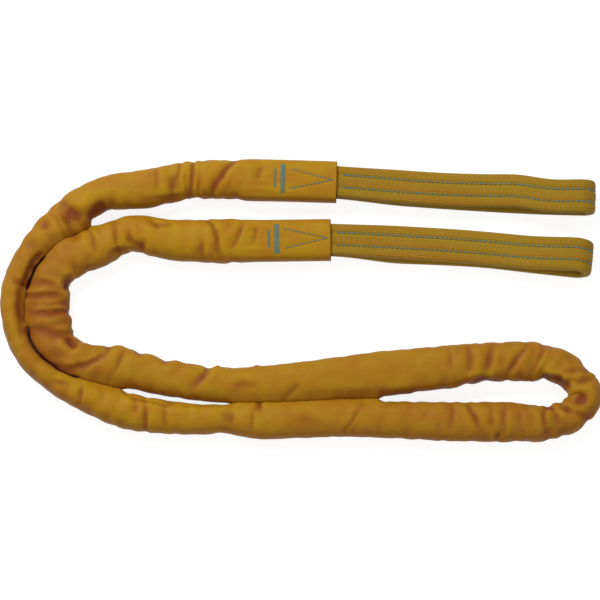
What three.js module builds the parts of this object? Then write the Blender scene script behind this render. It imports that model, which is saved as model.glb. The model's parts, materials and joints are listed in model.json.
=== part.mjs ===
// A round sling with two soft eyes, folded double and laid in a C on a flat surface.
// Millimetres, +Z up. The surface is z = 0 and the origin lies under the middle of the sling.
// The cover, sleeves and yarn are cut where the laid sling hinges, because each solid is rigid.
import * as THREE from "three";

// Body cover, a woven tube lying loosely filled
const BODY_WIDTH = 34;
const BODY_HEIGHT = 24;
const COVER_WALL = 1.5;
const BODY_FLAT_SHARE = 0.1; // of the height, pressed flat where the cover lies
const BODY_SQUARENESS = 2.4; // 2 is an ellipse, more is boxier

// Cuffs, the ends of the cover that are pressed flat and sewn
const CUFF_LENGTH = 60;
const CUFF_WIDTH = 35;
const CUFF_TAPER = 36; // from the flat cuff to the loosely filled cover
const CUFF_LIFT = 2; // height of a cuff over the surface
const CUFF_FLAT_SHARE = 0.02;
const CUFF_SQUARENESS = 6;

// Eye sleeves, flat webbing tubes round the yarn loops
const EYE_WIDTH = 26;
const EYE_THROAT_THICKNESS = 7.6;
const EYE_TIP_THICKNESS = 9;
const EYE_WALL = 1.4;
const EYE_CORNER = 2.6;
const EYE_TIP_HEIGHT = 26; // over the surface, top of the upper leg at the tip
const EYE_LEG_SHIFT = 2; // the lower leg lies this far beside the upper leg
const EYE_TAIL_LENGTH = 54; // sleeve end inside the cuff

// Yarn hank
const YARN_DIAMETER = 9.2; // one leg of the hank where it lies loose in the cover
const YARN_STACK_LENGTH = 100; // cover length in which the two legs turn from side by side to stacked
const YARN_PRESS_SHARE = 0.5; // of that length, where the stacked legs are also pressed flat
const YARN_EYE_WIDTH = 21;

// Seams, of thread that stands on the cloth or in the valleys that it pulls
const THREAD_THICKNESS = 0.9;
const ROW_SPACING = 10.6;
const ROW_WIDTH = 1.2;
const ROW_THICKNESS = 0.45;
const ROW_START = 5; // from the throat to the first stitch
const VALLEY_WIDTH = 4.6;
const VALLEY_DEPTH = 0.9;
const WIDE_TACK_LENGTH = 24;
const WIDE_TACK_WIDTH = 4.6;
const WIDE_TACK_PLACE = 45.5; // from the cuff's end to the tack's middle
const NARROW_TACK_LENGTH = 15;
const NARROW_TACK_WIDTH = 1.8;
const NARROW_TACK_PLACE = 52;
const TRIANGLE_BASE = 17;
const TRIANGLE_START = 3; // from the cuff's end to the triangle's point
const TRIANGLE_LENGTH = 37;
const TRIANGLE_BAND = 1.6;

// Clearances
const SEAT_GAP = 0.35; // between two solids that touch on the real sling
const CUFF_GAP = 0.6; // between the stacked sleeve ends and the pressed cover
const YARN_SIDE_GAP = 1.4; // between a yarn leg and the side of the cover, whose facets cut in
const SPLIT_GAP = 0.3; // between the two halves of a piece that is cut at a hinge
const LEG_GAP = 0.6; // between the two legs of an eye where they lie on each other

// Routes on the surface, along the middle of the cover, with the cover's size at each point
const OUTER_RUN_ROUTE = [
  [31.1, 100.9], [-30.2, 102.6], [-92.4, 102.6], [-130.2, 95.4], [-163, 90.2], [-188.2, 77],
  [-211, 58.9], [-230.4, 36.4], [-241.5, 7.7], [-241.8, -20.5], [-231.8, -50], [-211.8, -70.6],
  [-181.6, -85.8], [-142.8, -96.6], [-84, -102], [-31.9, -103.4], [42, -102.2], [126, -103.8],
];
const OUTER_RUN_WIDTH_SHARES = [
  1, 1, 0.91, 0.97, 0.94, 0.94, 0.81, 0.64, 0.6, 0.52, 0.5, 0.54, 0.7, 0.88, 0.76, 0.92, 0.93, 0.97,
];
const OUTER_RUN_HEIGHT_SHARES = [
  1, 1, 1, 1, 1, 1, 1.04, 1.08, 1.1, 1.12, 1.12, 1.1, 1.06, 1, 0.96, 1, 1, 1,
];
const END_LOOP_ROUTE = [
  [126, -103.8], [172.2, -103.7], [205.8, -104.3], [229.3, -96.1], [239, -82], [230.2, -65.8],
  [205.8, -53], [168, -52.5], [126, -56.8],
];
const END_LOOP_WIDTH_SHARES = [0.97, 0.98, 0.83, 0.77, 0.77, 0.8, 0.87, 0.96, 1.04];
const END_LOOP_HEIGHT_SHARES = [1, 1, 1, 1.04, 1.08, 1.04, 1, 1, 1];
const INNER_RUN_ROUTE = [
  [126, -56.8], [71.4, -62.4], [-50.4, -72.4], [-105, -67.4], [-151.2, -56.6], [-187, -51.4],
  [-205, -38.2], [-211, -15.3], [-210.4, 11.2], [-198.2, 30.8], [-169.7, 44.9], [-142.8, 56.9],
  [-109.2, 51.8], [-57.1, 50.5], [26, 51.3],
];
const INNER_RUN_WIDTH_SHARES = [
  1.04, 1.1, 0.87, 0.86, 0.96, 0.91, 1, 1.1, 1, 0.9, 0.94, 0.87, 1, 1.12, 1,
];
const INNER_RUN_HEIGHT_SHARES = [
  1, 1, 1, 1, 1, 1, 1.04, 1.04, 1.04, 1, 1, 1, 1, 1, 1,
];

// Routes of the eyes, from the throat to the tip, along the middle of the upper leg
const UPPER_EYE_ROUTE = [[31.1, 100.8], [90, 96.1], [151, 91.9], [202, 89.2], [249.5, 87.9]];
const LOWER_EYE_ROUTE = [[26, 51.3], [80, 49.8], [151, 46.5], [202, 40.9], [246.5, 36.1]];

// Shares of an eye's length at which its legs reach the surface, part and are fully apart
const EYE_REST_SHARE = 0.3;
const EYE_PART_SHARE = 0.58;

// How finely the solids are faceted
const COVER_SIDES = 15;
const COVER_BORE_SIDES = 8;
const YARN_SIDES = 6;
const COVER_STEP = 18;
const YARN_STEP = 20;
const COVER_TURN = THREE.MathUtils.degToRad(17);
const YARN_TURN = THREE.MathUtils.degToRad(24);
const TAIL_STEPS = 3;
const EYE_LEG_STEPS = 11;
const EYE_TIP_STEPS = 7;
const ROUTE_SAMPLES = 600;

const COLOURS = {
  cover: 0xb48223,
  webbing: 0xa8802e,
  yarn: 0xe6ddc4,
  thread: 0x2c7f8a,
};
const CLOTH_ROUGHNESS = 0.85;

// Sizes that follow from the ones above
const YARN_SPACING = YARN_DIAMETER + 2 * SEAT_GAP;
const YARN_EYE_THICKNESS = EYE_THROAT_THICKNESS - 2 * (EYE_WALL + SEAT_GAP);
const CUFF_THICKNESS = 2 * (COVER_WALL + EYE_THROAT_THICKNESS) + 3 * CUFF_GAP;
const LOW_TAIL_HEIGHT = CUFF_LIFT + COVER_WALL + CUFF_GAP + EYE_THROAT_THICKNESS / 2;
const HIGH_TAIL_HEIGHT = LOW_TAIL_HEIGHT + EYE_THROAT_THICKNESS + CUFF_GAP;
const UP = new THREE.Vector3(0, 0, 1);

const sling = new THREE.Group();

function addPiece(name, geometry, colour) {
  const material = new THREE.MeshStandardMaterial({
    color: colour,
    roughness: CLOTH_ROUGHNESS,
    metalness: 0,
  });
  const mesh = new THREE.Mesh(geometry, material);
  mesh.name = name;
  sling.add(mesh);
  return mesh;
}

// A route with its arc length, so that a place can be found by its distance along it
function layRoute(points) {
  const places = points.map(([x, y]) => new THREE.Vector3(x, y, 0));
  const curve = new THREE.CatmullRomCurve3(places, false, "centripetal");
  curve.arcLengthDivisions = ROUTE_SAMPLES;
  const lengths = curve.getLengths();
  const total = lengths[ROUTE_SAMPLES];
  return { curve, lengths, total };
}

function parameterAt(route, distance) {
  const after = route.lengths.findIndex((length) => length >= distance);
  if (after < 0) return 1;
  if (after === 0) return 0;
  const before = route.lengths[after - 1];
  const part = (distance - before) / (route.lengths[after] - before);
  return (after - 1 + part) / ROUTE_SAMPLES;
}

function distanceAt(route, parameter) {
  const place = parameter * ROUTE_SAMPLES;
  const before = Math.min(Math.floor(place), ROUTE_SAMPLES - 1);
  return THREE.MathUtils.lerp(route.lengths[before], route.lengths[before + 1], place - before);
}

// Places along a route that lie closer together where it bends
function spacedParameters(route, step, turn) {
  const efforts = [0];
  let heading = route.curve.getTangent(0);
  for (let i = 1; i <= ROUTE_SAMPLES; i++) {
    const next = route.curve.getTangent(i / ROUTE_SAMPLES);
    const advance = (route.lengths[i] - route.lengths[i - 1]) / step;
    efforts.push(efforts[i - 1] + advance + heading.angleTo(next) / turn);
    heading = next;
  }
  const count = Math.ceil(efforts[ROUTE_SAMPLES]);
  const parameters = [];
  for (let i = 0; i <= count; i++) {
    const wanted = (efforts[ROUTE_SAMPLES] * i) / count;
    const after = Math.max(1, efforts.findIndex((effort) => effort >= wanted - Number.EPSILON));
    const before = efforts[after - 1];
    parameters.push((after - 1 + (wanted - before) / (efforts[after] - before)) / ROUTE_SAMPLES);
  }
  return parameters.map((parameter) => THREE.MathUtils.clamp(parameter, 0, 1));
}

function shareAt(shares, parameter) {
  const place = parameter * (shares.length - 1);
  const before = Math.min(Math.floor(place), shares.length - 2);
  return THREE.MathUtils.lerp(shares[before], shares[before + 1], place - before);
}

// A flat-bottomed oval that stands on y = 0, counter-clockwise from the right end of its flat
function flatOval(width, height, squareness, flatShare, sides) {
  const halfHeight = height / (2 * (1 - flatShare));
  const middle = height - halfHeight;
  const flatAngle = -Math.asin((middle / halfHeight) ** (squareness / 2));
  const points = [];
  for (let i = 0; i < sides; i++) {
    const angle = THREE.MathUtils.lerp(flatAngle, Math.PI - flatAngle, i / (sides - 1));
    const across = Math.sign(Math.cos(angle)) * Math.abs(Math.cos(angle)) ** (2 / squareness);
    const rise = Math.sign(Math.sin(angle)) * Math.abs(Math.sin(angle)) ** (2 / squareness);
    points.push(new THREE.Vector2((width / 2) * across, middle + halfHeight * rise));
  }
  return points;
}

// A rectangle with cut corners round the middle, counter-clockwise from its lower left
function cutRectangle(width, height, corner) {
  const x = width / 2;
  const y = height / 2;
  return [
    [-x + corner, -y], [x - corner, -y], [x, -y + corner], [x, y - corner],
    [x - corner, y], [-x + corner, y], [-x, y - corner], [-x, -y + corner],
  ].map(([across, rise]) => new THREE.Vector2(across, rise));
}

function shifted(points, across, rise) {
  return points.map((point) => new THREE.Vector2(point.x + across, point.y + rise));
}

// A closed tube through stations. A station has an origin, a side and an up vector, an outline
// and, on a hollow tube, a bore. Its plane is the x on which a cut end lies.
function tubeGeometry(stations) {
  const positions = [];
  const faces = [];
  const ringOf = (station, outline) => {
    const first = positions.length / 3;
    outline.forEach((point) => {
      const place = station.origin.clone();
      place.addScaledVector(station.side, point.x).addScaledVector(station.up, point.y);
      positions.push(station.plane ?? place.x, place.y, place.z);
    });
    return { first, count: outline.length, outline };
  };
  const joinRings = (near, far, flipped) => {
    for (let i = 0; i < near.count; i++) {
      const next = (i + 1) % near.count;
      const corners = [near.first + i, near.first + next, far.first + next, far.first + i];
      if (flipped) corners.reverse();
      faces.push(corners[0], corners[1], corners[2], corners[0], corners[2], corners[3]);
    }
  };
  const outlines = stations.map((station) => ringOf(station, station.outline));
  outlines.slice(1).forEach((far, i) => joinRings(outlines[i], far, false));
  const hollow = Boolean(stations[0].bore);
  const bores = hollow ? stations.map((station) => ringOf(station, station.bore)) : [];
  bores.slice(1).forEach((far, i) => joinRings(bores[i], far, true));
  const last = stations.length - 1;
  if (hollow) {
    faces.push(...rimFaces(outlines[0], bores[0], true));
    faces.push(...rimFaces(outlines[last], bores[last], false));
  } else {
    faces.push(...capFaces(outlines[0], true));
    faces.push(...capFaces(outlines[last], false));
  }
  const geometry = new THREE.BufferGeometry();
  geometry.setAttribute("position", new THREE.Float32BufferAttribute(positions, 3));
  geometry.setIndex(faces);
  geometry.computeVertexNormals();
  return geometry;
}

function capFaces(ring, flipped) {
  const faces = [];
  for (let i = 1; i < ring.count - 1; i++) {
    const pair = flipped ? [i + 1, i] : [i, i + 1];
    faces.push(ring.first, ring.first + pair[0], ring.first + pair[1]);
  }
  return faces;
}

// The flat rim between an outline and its bore, walked round both by their angles
function rimFaces(outer, inner, flipped) {
  const middle = new THREE.Vector2();
  inner.outline.forEach((point) => middle.addScaledVector(point, 1 / inner.count));
  const full = 2 * Math.PI;
  const anglesOf = (ring) => {
    const raw = ring.outline.map((point) => Math.atan2(point.y - middle.y, point.x - middle.x));
    const start = raw[0];
    return raw.map((angle, i) => (i ? THREE.MathUtils.euclideanModulo(angle - start, full) : 0));
  };
  const outerAngles = anglesOf(outer);
  const innerAngles = anglesOf(inner);
  outerAngles.push(full, Infinity);
  innerAngles.push(full, Infinity);
  const faces = [];
  let i = 0;
  let j = 0;
  while (i < outer.count || j < inner.count) {
    const outerNow = outer.first + (i % outer.count);
    const innerNow = inner.first + (j % inner.count);
    let face;
    if (outerAngles[i + 1] <= innerAngles[j + 1]) {
      i++;
      face = [outerNow, outer.first + (i % outer.count), innerNow];
    } else {
      j++;
      face = [outerNow, inner.first + (j % inner.count), innerNow];
    }
    faces.push(...(flipped ? face.reverse() : face));
  }
  return faces;
}

function stationOn(route, parameter) {
  const ahead = route.curve.getTangent(parameter);
  const side = new THREE.Vector3().crossVectors(UP, ahead).normalize();
  return { origin: route.curve.getPoint(parameter), side, up: UP };
}

// Body cover: its runs from the routes, pressed flat towards a cuff
const outerRun = layRoute(OUTER_RUN_ROUTE);
const endLoop = layRoute(END_LOOP_ROUTE);
const innerRun = layRoute(INNER_RUN_ROUTE);
outerRun.fromCuff = (distance) => distance;
endLoop.fromCuff = () => Infinity;
innerRun.fromCuff = (distance) => innerRun.total - distance;

function coverSize(route, parameter, widthShares, heightShares) {
  const fromCuff = route.fromCuff(distanceAt(route, parameter));
  const pressed = 1 - THREE.MathUtils.smoothstep(fromCuff, CUFF_LENGTH, CUFF_LENGTH + CUFF_TAPER);
  const loose = (value, flat) => THREE.MathUtils.lerp(value, flat, pressed);
  return {
    fromCuff,
    width: loose(BODY_WIDTH * shareAt(widthShares, parameter), CUFF_WIDTH),
    height: loose(BODY_HEIGHT * shareAt(heightShares, parameter), CUFF_THICKNESS),
    lift: loose(0, CUFF_LIFT),
    squareness: loose(BODY_SQUARENESS, CUFF_SQUARENESS),
    flatShare: loose(BODY_FLAT_SHARE, CUFF_FLAT_SHARE),
  };
}

function coverStations(route, widthShares, heightShares, startPlane, endPlane) {
  const parameters = spacedParameters(route, COVER_STEP, COVER_TURN);
  return parameters.map((parameter, i) => {
    const size = coverSize(route, parameter, widthShares, heightShares);
    const oval = (thickness, sides) =>
      shifted(
        flatOval(
          size.width - 2 * thickness,
          size.height - 2 * thickness,
          size.squareness,
          size.flatShare,
          sides,
        ),
        0,
        size.lift + thickness,
      );
    const station = stationOn(route, parameter);
    station.outline = oval(0, COVER_SIDES);
    station.bore = oval(COVER_WALL, COVER_BORE_SIDES);
    if (i === 0) station.plane = startPlane;
    if (i === parameters.length - 1) station.plane = endPlane;
    return station;
  });
}

// Yarn hank: two legs that lie side by side, and one over the other in a cuff or a narrow cover
function yarnStations(route, widthShares, heightShares, leg, startPlane, endPlane) {
  const parameters = spacedParameters(route, YARN_STEP, YARN_TURN);
  return parameters.map((parameter, i) => {
    const size = coverSize(route, parameter, widthShares, heightShares);
    const stacking = THREE.MathUtils.smoothstep(
      size.fromCuff,
      EYE_TAIL_LENGTH,
      EYE_TAIL_LENGTH + YARN_STACK_LENGTH,
    );
    const sideRoom = (size.width - YARN_DIAMETER) / 2 - COVER_WALL - YARN_SIDE_GAP;
    const room = THREE.MathUtils.clamp(sideRoom / (YARN_SPACING / 2), 0, 1);
    const apart = Math.min(room, THREE.MathUtils.smoothstep(stacking, YARN_PRESS_SHARE, 1));
    const pressed = 1 - THREE.MathUtils.smoothstep(stacking, 0, YARN_PRESS_SHARE);
    const width = THREE.MathUtils.lerp(YARN_DIAMETER, YARN_EYE_WIDTH, pressed);
    const height = THREE.MathUtils.lerp(YARN_DIAMETER, YARN_EYE_THICKNESS, pressed);
    const spacing = THREE.MathUtils.lerp(YARN_SPACING, HIGH_TAIL_HEIGHT - LOW_TAIL_HEIGHT, pressed);
    const resting = size.lift + COVER_WALL + SEAT_GAP + height / 2;
    const low = THREE.MathUtils.lerp(resting, LOW_TAIL_HEIGHT, pressed);
    const rise = spacing * Math.sqrt(1 - apart * apart);
    const across = (spacing / 2) * apart * (leg.high ? 1 : -1);
    const station = stationOn(route, parameter);
    station.outline = shifted(ellipse(width, height), across, low + (leg.high ? rise : 0));
    if (i === 0) station.plane = startPlane;
    if (i === parameters.length - 1) station.plane = endPlane;
    return station;
  });
}

function ellipse(width, height) {
  const points = [];
  for (let i = 0; i < YARN_SIDES; i++) {
    const angle = (2 * Math.PI * i) / YARN_SIDES;
    points.push(new THREE.Vector2((width / 2) * Math.cos(angle), (height / 2) * Math.sin(angle)));
  }
  return points;
}

const upperThroat = OUTER_RUN_ROUTE[0][0];
const lowerThroat = INNER_RUN_ROUTE.at(-1)[0];
const loopHinge = END_LOOP_ROUTE[0][0];
const runs = [
  {
    name: "outer_run",
    route: outerRun,
    widthShares: OUTER_RUN_WIDTH_SHARES,
    heightShares: OUTER_RUN_HEIGHT_SHARES,
    start: upperThroat - SPLIT_GAP / 2,
    end: loopHinge - SPLIT_GAP / 2,
  },
  {
    name: "end_loop",
    route: endLoop,
    widthShares: END_LOOP_WIDTH_SHARES,
    heightShares: END_LOOP_HEIGHT_SHARES,
    start: loopHinge + SPLIT_GAP / 2,
    end: loopHinge + SPLIT_GAP / 2,
  },
  {
    name: "inner_run",
    route: innerRun,
    widthShares: INNER_RUN_WIDTH_SHARES,
    heightShares: INNER_RUN_HEIGHT_SHARES,
    start: loopHinge - SPLIT_GAP / 2,
    end: lowerThroat - SPLIT_GAP / 2,
  },
];
runs.forEach(({ name, route, widthShares, heightShares, start, end }) => {
  const cover = tubeGeometry(coverStations(route, widthShares, heightShares, start, end));
  addPiece("body_cover_" + name, cover, COLOURS.cover);
  [{ name: "low", high: false }, { name: "high", high: true }].forEach((leg) => {
    const yarn = tubeGeometry(yarnStations(route, widthShares, heightShares, leg, start, end));
    addPiece("yarn_leg_" + leg.name + "_" + name, yarn, COLOURS.yarn);
  });
});

// Eye sleeve section: its outer face has a valley at each seam row
function sleeveOutline(thickness) {
  const x = EYE_WIDTH / 2;
  const y = thickness / 2;
  const soft = EYE_CORNER * (1 - Math.SQRT1_2);
  const valley = (middle) => [
    [middle + VALLEY_WIDTH / 2, y], [middle + ROW_WIDTH, y - VALLEY_DEPTH],
    [middle - ROW_WIDTH, y - VALLEY_DEPTH], [middle - VALLEY_WIDTH / 2, y],
  ];
  return [
    [-x + EYE_CORNER, -y], [x - EYE_CORNER, -y], [x - soft, -y + soft],
    [x, -y + EYE_CORNER], [x, y - EYE_CORNER], [x - soft, y - soft], [x - EYE_CORNER, y],
    ...valley(ROW_SPACING / 2), ...valley(-ROW_SPACING / 2),
    [-x + EYE_CORNER, y], [-x + soft, y - soft], [-x, y - EYE_CORNER],
    [-x, -y + EYE_CORNER], [-x + soft, -y + soft],
  ].map(([across, rise]) => new THREE.Vector2(across, rise));
}

function sleeveBore(thickness) {
  return cutRectangle(
    EYE_WIDTH - 2 * EYE_WALL,
    thickness - 2 * EYE_WALL,
    EYE_CORNER - EYE_WALL,
  );
}

function rowOutline(thickness, side) {
  const middle = (side * ROW_SPACING) / 2;
  const floor = thickness / 2 - VALLEY_DEPTH + SEAT_GAP;
  return [
    [middle - ROW_WIDTH / 2, floor], [middle + ROW_WIDTH / 2, floor],
    [middle + ROW_WIDTH / 2, floor + ROW_THICKNESS], [middle - ROW_WIDTH / 2, floor + ROW_THICKNESS],
  ].map(([across, rise]) => new THREE.Vector2(across, rise));
}

// Eye path in its upright plane: out along the upper leg, round the tip, back along the lower leg
function eyePath(route) {
  const lowHeight = EYE_TIP_THICKNESS / 2;
  const highHeight = EYE_TIP_HEIGHT - EYE_TIP_THICKNESS / 2;
  const radius = (highHeight - lowHeight) / 2;
  const reach = route.total - radius - EYE_TIP_THICKNESS / 2;
  const touching = EYE_TIP_THICKNESS + lowHeight + LEG_GAP;
  const places = [];
  for (let i = 0; i <= EYE_LEG_STEPS; i++) {
    const share = i / EYE_LEG_STEPS;
    const settled = THREE.MathUtils.smoothstep(share, 0, EYE_REST_SHARE);
    const parted = THREE.MathUtils.smoothstep(share, EYE_PART_SHARE, 1);
    const height = THREE.MathUtils.lerp(HIGH_TAIL_HEIGHT, touching, settled);
    places.push({
      along: share * reach,
      height: THREE.MathUtils.lerp(height, highHeight, parted),
      settled,
      returned: 0,
    });
  }
  for (let i = 1; i < EYE_TIP_STEPS; i++) {
    const turned = (Math.PI * i) / EYE_TIP_STEPS;
    places.push({
      along: reach + radius * Math.sin(turned),
      height: lowHeight + radius * (1 + Math.cos(turned)),
      settled: 1,
      returned: i / EYE_TIP_STEPS,
    });
  }
  for (let i = EYE_LEG_STEPS; i >= 0; i--) {
    const share = i / EYE_LEG_STEPS;
    const settled = THREE.MathUtils.smoothstep(share, 0, EYE_REST_SHARE);
    places.push({
      along: share * reach,
      height: THREE.MathUtils.lerp(LOW_TAIL_HEIGHT, lowHeight, settled),
      settled,
      returned: settled,
    });
  }
  return places;
}

function eyeStations(route, throat, outlineOf, boreOf, start) {
  const path = eyePath(route);
  const last = path.length - 1;
  const stations = path.map((place, i) => {
    const before = path[Math.max(i - 1, 0)];
    const after = path[Math.min(i + 1, last)];
    const onRoute = stationOn(route, parameterAt(route, Math.min(place.along, route.total)));
    const ahead = new THREE.Vector3().crossVectors(onRoute.side, UP);
    const heading = ahead
      .clone()
      .multiplyScalar(after.along - before.along)
      .addScaledVector(UP, after.height - before.height)
      .normalize();
    if (i === 0) heading.copy(ahead);
    if (i === last) heading.copy(ahead).negate();
    const up = new THREE.Vector3().crossVectors(heading, onRoute.side).normalize();
    const origin = onRoute.origin.clone().addScaledVector(UP, place.height);
    origin.addScaledVector(onRoute.side, -EYE_LEG_SHIFT * place.returned);
    const thickness = THREE.MathUtils.lerp(EYE_THROAT_THICKNESS, EYE_TIP_THICKNESS, place.settled);
    const station = { origin, side: onRoute.side, up, along: place.along };
    station.outline = outlineOf(thickness);
    if (boreOf) station.bore = boreOf(thickness);
    return station;
  });
  const cut = stations.filter((station) => station.along >= start);
  if (start) {
    const ends = [stations[0], stations[last]];
    const inner = [cut[0], cut[cut.length - 1]];
    ends.forEach((end, i) => {
      const share = start / inner[i].along;
      const origin = end.origin.clone().lerp(inner[i].origin, share);
      const station = { ...inner[i], origin };
      if (i) cut.push(station);
      else cut.unshift(station);
    });
  } else {
    cut[0].plane = throat + SPLIT_GAP / 2;
    cut[cut.length - 1].plane = throat + SPLIT_GAP / 2;
  }
  return cut;
}

// Sleeve ends and seams inside and on a cuff, placed by their distance from the cuff's end
function tailStations(route, height, endPlane) {
  const stations = [];
  for (let i = 0; i <= TAIL_STEPS; i++) {
    const fromCuff = (EYE_TAIL_LENGTH * i) / TAIL_STEPS;
    const station = stationOn(route, parameterAt(route, route.fromCuff(fromCuff)));
    station.outline = shifted(cutRectangle(EYE_WIDTH, EYE_THROAT_THICKNESS, EYE_CORNER), 0, height);
    station.bore = shifted(sleeveBore(EYE_THROAT_THICKNESS), 0, height);
    if (i === 0) station.plane = endPlane;
    stations.push(station);
  }
  return route.fromCuff(0) === 0 ? stations : stations.reverse();
}

function plateGeometry(outline, hole) {
  const shape = new THREE.Shape(outline);
  if (hole) shape.holes.push(new THREE.Path(hole));
  return new THREE.ExtrudeGeometry(shape, { depth: THREAD_THICKNESS, bevelEnabled: false });
}

function tackGeometry(place, width, length) {
  return plateGeometry(
    [
      [place - width / 2, -length / 2], [place + width / 2, -length / 2],
      [place + width / 2, length / 2], [place - width / 2, length / 2],
    ].map(([x, y]) => new THREE.Vector2(x, y)),
  );
}

function triangleGeometry() {
  const base = TRIANGLE_START + TRIANGLE_LENGTH;
  const slope = TRIANGLE_BASE / 2 / TRIANGLE_LENGTH;
  const inset = TRIANGLE_BAND * Math.hypot(1, 1 / slope);
  const holeBase = base - TRIANGLE_BAND;
  const holeHalf = (holeBase - TRIANGLE_START - inset) * slope;
  const corners = [[TRIANGLE_START, 0], [base, TRIANGLE_BASE / 2], [base, -TRIANGLE_BASE / 2]];
  const hole = [[TRIANGLE_START + inset, 0], [holeBase, holeHalf], [holeBase, -holeHalf]];
  const points = (list) => list.map(([x, y]) => new THREE.Vector2(x, y));
  return plateGeometry(points(corners).reverse(), points(hole));
}

function addThroatSeams(name, route) {
  const end = route.curve.getPoint(parameterAt(route, route.fromCuff(0)));
  const back = route.curve.getPoint(parameterAt(route, route.fromCuff(CUFF_LENGTH)));
  const direction = Math.atan2(back.y - end.y, back.x - end.x);
  const faces = [
    { face: "top", height: CUFF_LIFT + CUFF_THICKNESS + SEAT_GAP },
    { face: "bottom", height: CUFF_LIFT - SEAT_GAP - THREAD_THICKNESS },
  ];
  const seams = [
    ["wide_bar_tack", () => tackGeometry(WIDE_TACK_PLACE, WIDE_TACK_WIDTH, WIDE_TACK_LENGTH)],
    ["narrow_bar_tack", () => tackGeometry(NARROW_TACK_PLACE, NARROW_TACK_WIDTH, NARROW_TACK_LENGTH)],
    ["triangle_seam", triangleGeometry],
  ];
  faces.forEach(({ face, height }) => {
    const group = new THREE.Group();
    group.position.set(end.x, end.y, height);
    group.rotation.z = direction;
    sling.add(group);
    seams.forEach(([seam, make]) => {
      group.add(addPiece(name + "_throat_" + seam + "_" + face, make(), COLOURS.thread));
    });
  });
}

function addEye(name, eyeRoute, coverRoute, throat) {
  const route = layRoute(eyeRoute);
  const sleeve = tubeGeometry(eyeStations(route, throat, sleeveOutline, sleeveBore, 0));
  addPiece(name + "_eye_sleeve", sleeve, COLOURS.webbing);
  const yarnOutline = () => ellipse(YARN_EYE_WIDTH, YARN_EYE_THICKNESS);
  const yarn = tubeGeometry(eyeStations(route, throat, yarnOutline, null, 0));
  addPiece(name + "_eye_yarn_loop", yarn, COLOURS.yarn);
  [["left", 1], ["right", -1]].forEach(([sideName, side]) => {
    const outlineOf = (thickness) => rowOutline(thickness, side);
    const row = tubeGeometry(eyeStations(route, throat, outlineOf, null, ROW_START));
    addPiece(name + "_eye_seam_" + sideName, row, COLOURS.thread);
  });
  [["low", LOW_TAIL_HEIGHT], ["high", HIGH_TAIL_HEIGHT]].forEach(([tail, height]) => {
    const stations = tailStations(coverRoute, height, throat - SPLIT_GAP / 2);
    addPiece(name + "_eye_sleeve_" + tail + "_tail", tubeGeometry(stations), COLOURS.webbing);
  });
  addThroatSeams(name, coverRoute);
}

addEye("upper", UPPER_EYE_ROUTE, outerRun, upperThroat);
addEye("lower", LOWER_EYE_ROUTE, innerRun, lowerThroat);

export default sling;
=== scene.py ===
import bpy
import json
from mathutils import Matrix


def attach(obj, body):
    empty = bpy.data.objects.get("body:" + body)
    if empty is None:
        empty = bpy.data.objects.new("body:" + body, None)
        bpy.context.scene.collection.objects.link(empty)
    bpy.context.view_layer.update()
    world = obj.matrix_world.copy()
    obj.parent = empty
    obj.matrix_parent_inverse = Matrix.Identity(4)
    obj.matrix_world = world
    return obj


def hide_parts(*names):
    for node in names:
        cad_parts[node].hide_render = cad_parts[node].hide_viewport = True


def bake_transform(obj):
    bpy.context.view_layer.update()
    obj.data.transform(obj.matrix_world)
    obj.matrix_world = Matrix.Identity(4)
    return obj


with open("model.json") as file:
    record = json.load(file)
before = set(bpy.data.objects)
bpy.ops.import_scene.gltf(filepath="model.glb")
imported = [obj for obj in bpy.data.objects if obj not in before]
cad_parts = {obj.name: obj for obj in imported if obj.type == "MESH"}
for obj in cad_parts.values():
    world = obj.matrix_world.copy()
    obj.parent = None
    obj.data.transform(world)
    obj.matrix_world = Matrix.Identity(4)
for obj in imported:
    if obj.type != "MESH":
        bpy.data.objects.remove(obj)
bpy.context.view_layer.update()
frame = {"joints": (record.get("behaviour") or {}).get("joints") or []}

import json
import math
import bpy
import numpy as np
from mathutils import Vector
from mathutils.bvhtree import BVHTree

# Camera: the sling lies flat and is seen from its front side, steeply from above, through a long
# lens. The picture is as wide as the laid sling.
PICTURE_WIDTH = 0.504
SENSOR_WIDTH = 0.036
LENS = 0.25
VIEW_ELEVATION = math.radians(80)
LOOKED_AT = np.array([0.0, 0.0, 0.012])
distance = PICTURE_WIDTH * LENS / SENSOR_WIDTH
away = np.array([0, -math.cos(VIEW_ELEVATION), math.sin(VIEW_ELEVATION)])
bpy.ops.object.camera_add(
    location=LOOKED_AT + distance * away, rotation=(math.pi / 2 - VIEW_ELEVATION, 0, 0)
)
camera = bpy.context.object
camera.data.lens = LENS * 1000
camera.data.sensor_width = SENSOR_WIDTH * 1000
camera.data.clip_end = 100
bpy.context.scene.camera = camera


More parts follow.
